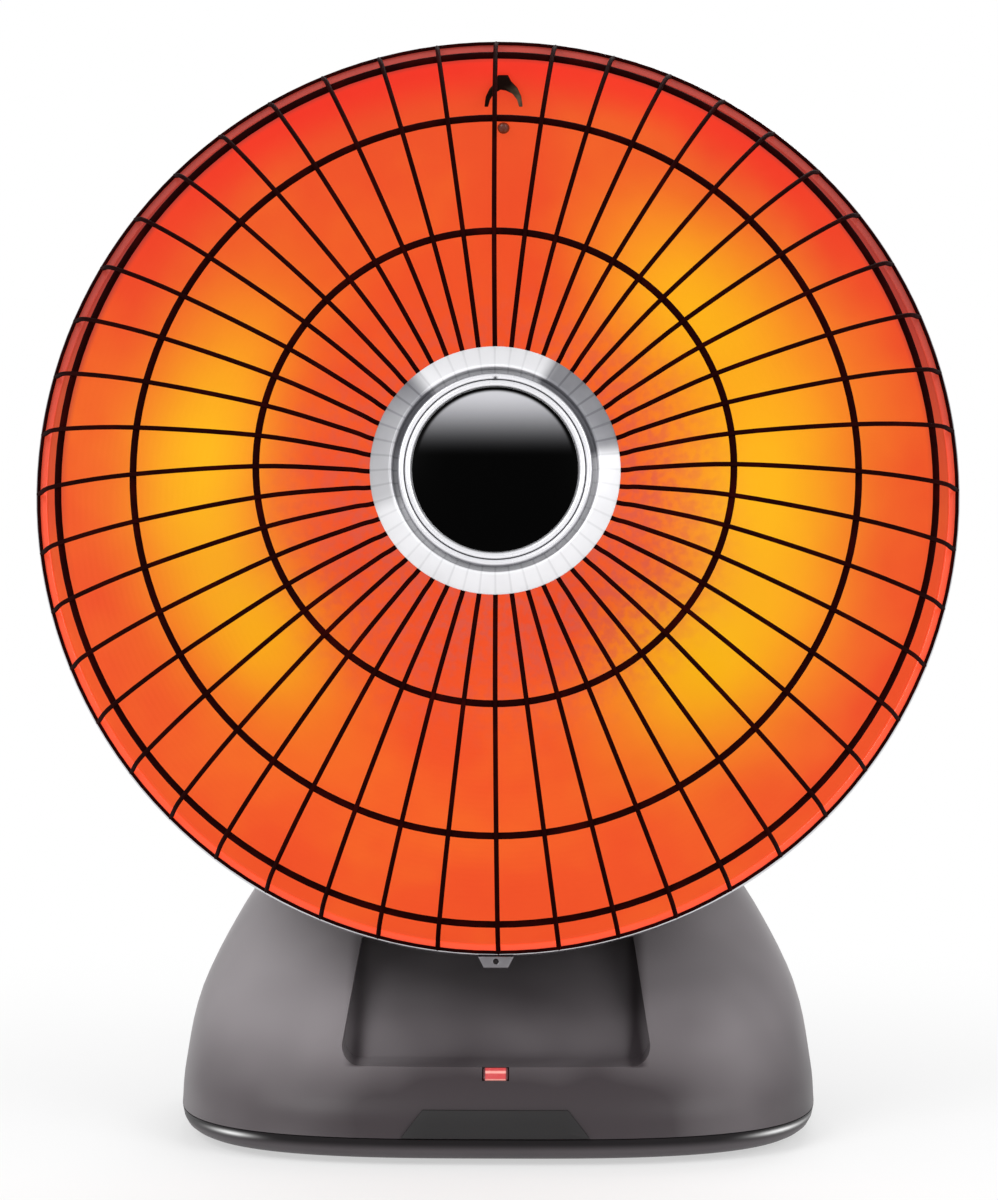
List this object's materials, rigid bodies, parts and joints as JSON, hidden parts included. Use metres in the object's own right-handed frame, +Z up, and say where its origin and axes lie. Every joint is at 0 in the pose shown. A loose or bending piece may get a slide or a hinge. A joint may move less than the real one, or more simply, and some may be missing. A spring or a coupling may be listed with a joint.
{
  "type": "parabolic heater",
  "caption": "Free-standing parabolic heater: a tilting reflector dish behind a domed wire guard with a round hub, on a moulded base with a thermostat knob and a power rocker.",
  "frame": {"origin": "middle of the overall box on the floor under the feet", "axes": "+Z up, the dish faces -Y, +X to the right as seen from the front"},
  "size_m": [0.414, 0.2716, 0.4954],
  "materials": {
    "guard_paint": "satin black heat-proof paint on wire",
    "bright_trim": "polished bright trim",
    "reflector_metal": "polished spun bowl lit red and gold by the element",
    "disc_gloss": "glossy black",
    "shell_paint": "satin black paint",
    "black_plastic": "moulded black plastic",
    "base_plastic": "satin grey moulded plastic",
    "tray_plastic": "dark grey moulded plastic",
    "steel": "plated steel",
    "ceramic": "unglazed ceramic",
    "hot_coil": "glowing resistance winding",
    "rubber": "matt black rubber",
    "indicator": "translucent pink red",
    "nylon": "natural nylon",
    "rocker_gloss": "glossy black",
    "board": "green circuit board"
  },
  "bodies": {
    "base": {"base_housing": "base_plastic", "base_tray": "tray_plastic", "front_plate": "black_plastic", "foot_1": "rubber", "foot_2": "rubber", "foot_3": "rubber", "foot_4": "rubber", "tray_screw_1": "steel", "tray_screw_2": "steel", "tray_screw_3": "steel", "tray_screw_4": "steel", "indicator_lens": "indicator", "lamp_holder": "black_plastic", "thermostat_body": "steel", "rocker_frame": "black_plastic", "cord_gland": "black_plastic", "tip_switch_body": "black_plastic", "control_board": "board", "alarm_buzzer": "black_plastic", "pivot_pin_left": "steel", "pivot_pin_right": "steel", "pivot_nut_left": "steel", "pivot_nut_right": "steel", "friction_washer_left": "nylon", "friction_washer_right": "nylon"},
    "dish": {"pod_housing": "black_plastic", "grille": "guard_paint", "rim_band": "bright_trim", "reflector": "reflector_metal", "rear_shell": "shell_paint", "hub_flange": "bright_trim", "hub_bezel": "bright_trim", "hub_disc": "disc_gloss", "hub_back_plate": "steel", "hub_screw": "steel", "hub_nut": "steel", "element_former": "ceramic", "heater_coil": "hot_coil", "element_post": "steel", "element_plate": "steel", "element_nut": "steel", "sensor_bracket": "shell_paint", "sensor_screw": "steel", "rim_clip": "steel", "pod_cover": "black_plastic", "terminal_block": "ceramic", "thermal_cutout": "steel", "handle": "black_plastic"},
    "knob": {"thermostat_shaft": "steel", "thermostat_knob": "black_plastic"},
    "rocker": {"rocker_button": "rocker_gloss"},
    "plunger": {"tip_plunger": "nylon", "plunger_spring": "steel"}
  },
  "joints": [
    {"name": "dish_tilt", "type": "hinge", "parent": "base", "child": "dish", "pos_m": [0, 0.03265, 0.14], "axis": [-1, 0, 0], "range_deg": [-12, 10]},
    {"name": "thermostat_turn", "type": "hinge", "parent": "base", "child": "knob", "pos_m": [-0.05, 0.11865, 0.058], "axis": [0, 1, 0], "range_deg": [-135, 135]},
    {"name": "rocker_switch", "type": "hinge", "parent": "base", "child": "rocker", "pos_m": [0.05, 0.11265, 0.058], "axis": [1, 0, 0], "range_deg": [-20, 0]},
    {"name": "tip_plunger_slide", "type": "slide", "parent": "base", "child": "plunger", "axis": [0, 0, 1], "range_m": [-0.004, 0], "stiffness_N_per_m": 60, "springref_m": -0.004, "deforming": ["plunger_spring"]}
  ]
}
